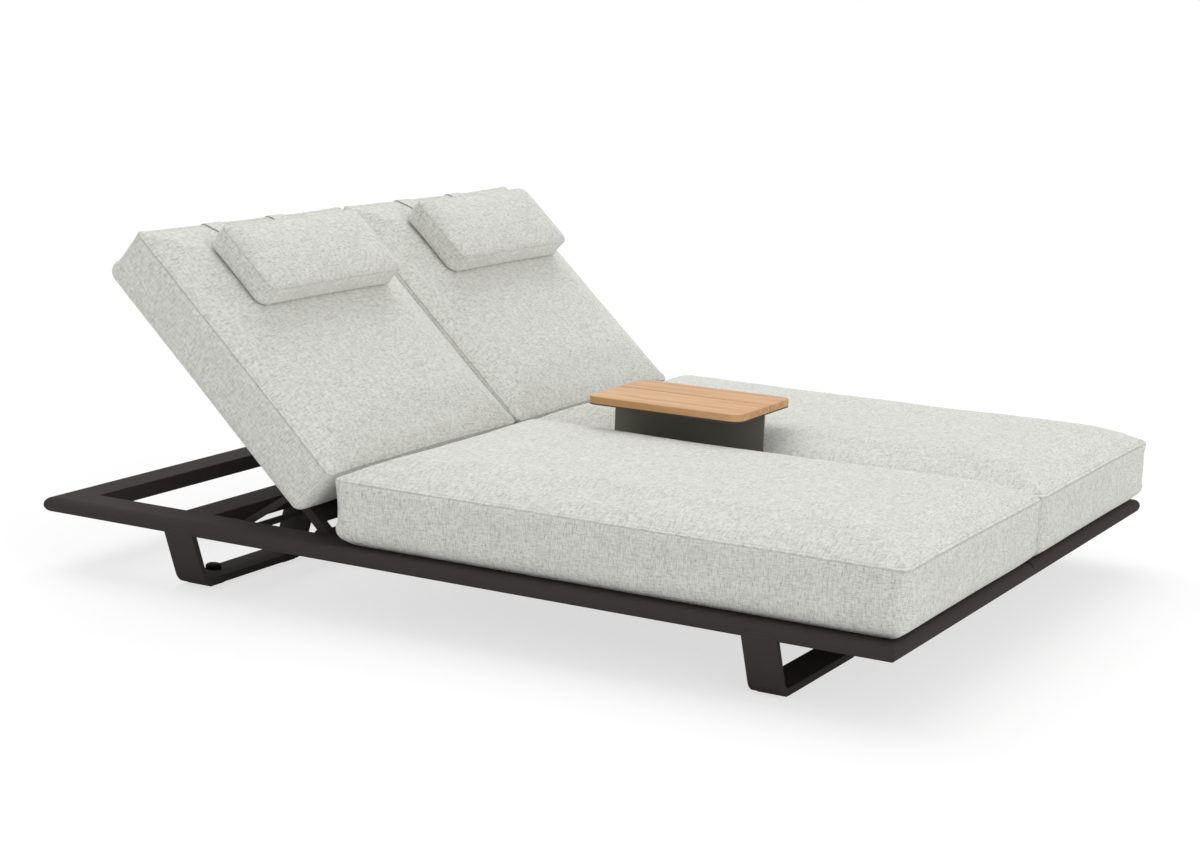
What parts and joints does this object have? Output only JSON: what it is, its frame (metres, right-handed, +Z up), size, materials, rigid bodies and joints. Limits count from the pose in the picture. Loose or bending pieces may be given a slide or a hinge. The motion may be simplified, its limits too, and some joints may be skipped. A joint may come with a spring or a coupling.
{
  "type": "double chaise lounger",
  "caption": "Low double sun lounger: two cushioned halves with reclining backs and headrest pillows, with a small wooden table on a rail between them.",
  "frame": {"origin": "on the floor, under the middle of the lounger", "axes": "+X towards the foot end, +Y to the left of a person lying on it, +Z up"},
  "size_m": [2.012, 1.5154, 0.7669],
  "materials": {
    "charcoal_coat": "fine matt powder coat",
    "cushion_fabric": "light grey woven outdoor cloth",
    "teak": "sanded, unoiled",
    "steel": "plain stainless",
    "black_plastic": "matt moulded",
    "black_rubber": "matt"
  },
  "bodies": {
    "frame": {"head_leg_buffers": "black_rubber", "joining_plates": "charcoal_coat", "joining_screws": "steel", "left_foot_cross_bar": "charcoal_coat", "left_foot_leg": "charcoal_coat", "left_foot_rail": "charcoal_coat", "left_head_cross_bar": "charcoal_coat", "left_head_leg": "charcoal_coat", "left_head_rail": "charcoal_coat", "left_hinge_cross_bar": "charcoal_coat", "left_hinge_pins": "steel", "left_inner_side_rail": "charcoal_coat", "left_outer_side_rail": "charcoal_coat", "left_prop_brackets": "charcoal_coat", "left_seat_cushion": "cushion_fabric", "left_seat_slats": "charcoal_coat", "leg_glides": "black_plastic", "right_foot_cross_bar": "charcoal_coat", "right_foot_leg": "charcoal_coat", "right_foot_rail": "charcoal_coat", "right_head_cross_bar": "charcoal_coat", "right_head_leg": "charcoal_coat", "right_head_rail": "charcoal_coat", "right_hinge_cross_bar": "charcoal_coat", "right_hinge_pins": "steel", "right_inner_side_rail": "charcoal_coat", "right_outer_side_rail": "charcoal_coat", "right_prop_brackets": "charcoal_coat", "right_seat_cushion": "cushion_fabric", "right_seat_slats": "charcoal_coat"},
    "right_back": {"right_back_side_tubes": "charcoal_coat", "right_back_cross_tubes": "charcoal_coat", "right_back_slats": "charcoal_coat", "right_back_hinge_lugs": "charcoal_coat", "right_prop_pads": "black_plastic", "right_back_cushion": "cushion_fabric", "right_headrest_straps": "cushion_fabric"},
    "right_prop": {"right_prop_pivot_rod": "charcoal_coat", "right_prop_rest_bar": "charcoal_coat", "right_prop_arms": "charcoal_coat"},
    "right_headrest": {"right_headrest_pillow": "cushion_fabric"},
    "left_back": {"left_back_side_tubes": "charcoal_coat", "left_back_cross_tubes": "charcoal_coat", "left_back_slats": "charcoal_coat", "left_back_hinge_lugs": "charcoal_coat", "left_prop_pads": "black_plastic", "left_back_cushion": "cushion_fabric", "left_headrest_straps": "cushion_fabric"},
    "left_prop": {"left_prop_pivot_rod": "charcoal_coat", "left_prop_rest_bar": "charcoal_coat", "left_prop_arms": "charcoal_coat"},
    "left_headrest": {"left_headrest_pillow": "cushion_fabric"},
    "side_table": {"table_keel": "charcoal_coat", "table_narrow_plank": "teak", "table_panel": "charcoal_coat", "table_screws": "steel", "table_tray": "charcoal_coat", "table_wide_plank": "teak"}
  },
  "joints": [
    {"name": "right_back_recline", "type": "hinge", "parent": "frame", "child": "right_back", "pos_m": [-0.34, -0.3785, 0.14], "axis": [0, 1, 0], "range_deg": [-42.5, 0]},
    {"name": "right_prop_swing", "type": "hinge", "parent": "frame", "child": "right_prop", "pos_m": [-0.582, -0.3785, 0.113], "axis": [0, 1, 0], "range_deg": [0, 42.5]},
    {"name": "right_headrest_slide", "type": "slide", "parent": "right_back", "child": "right_headrest", "axis": [-0.7373, 0, 0.6756], "range_m": [-0.06, 0.02]},
    {"name": "left_back_recline", "type": "hinge", "parent": "frame", "child": "left_back", "pos_m": [-0.34, 0.3785, 0.14], "axis": [0, 1, 0], "range_deg": [-42.5, 0]},
    {"name": "left_prop_swing", "type": "hinge", "parent": "frame", "child": "left_prop", "pos_m": [-0.582, 0.3785, 0.113], "axis": [0, 1, 0], "range_deg": [0, 42.5]},
    {"name": "left_headrest_slide", "type": "slide", "parent": "left_back", "child": "left_headrest", "axis": [-0.7373, 0, 0.6756], "range_m": [-0.06, 0.02]},
    {"name": "table_slide", "type": "slide", "parent": "frame", "child": "side_table", "axis": [1, 0, 0], "range_m": [-0.2, 0.35]}
  ],
  "couplings": [
    {"joint": "right_prop_swing", "follows": "right_back_recline", "ratio": -1},
    {"joint": "left_prop_swing", "follows": "left_back_recline", "ratio": -1}
  ]
}
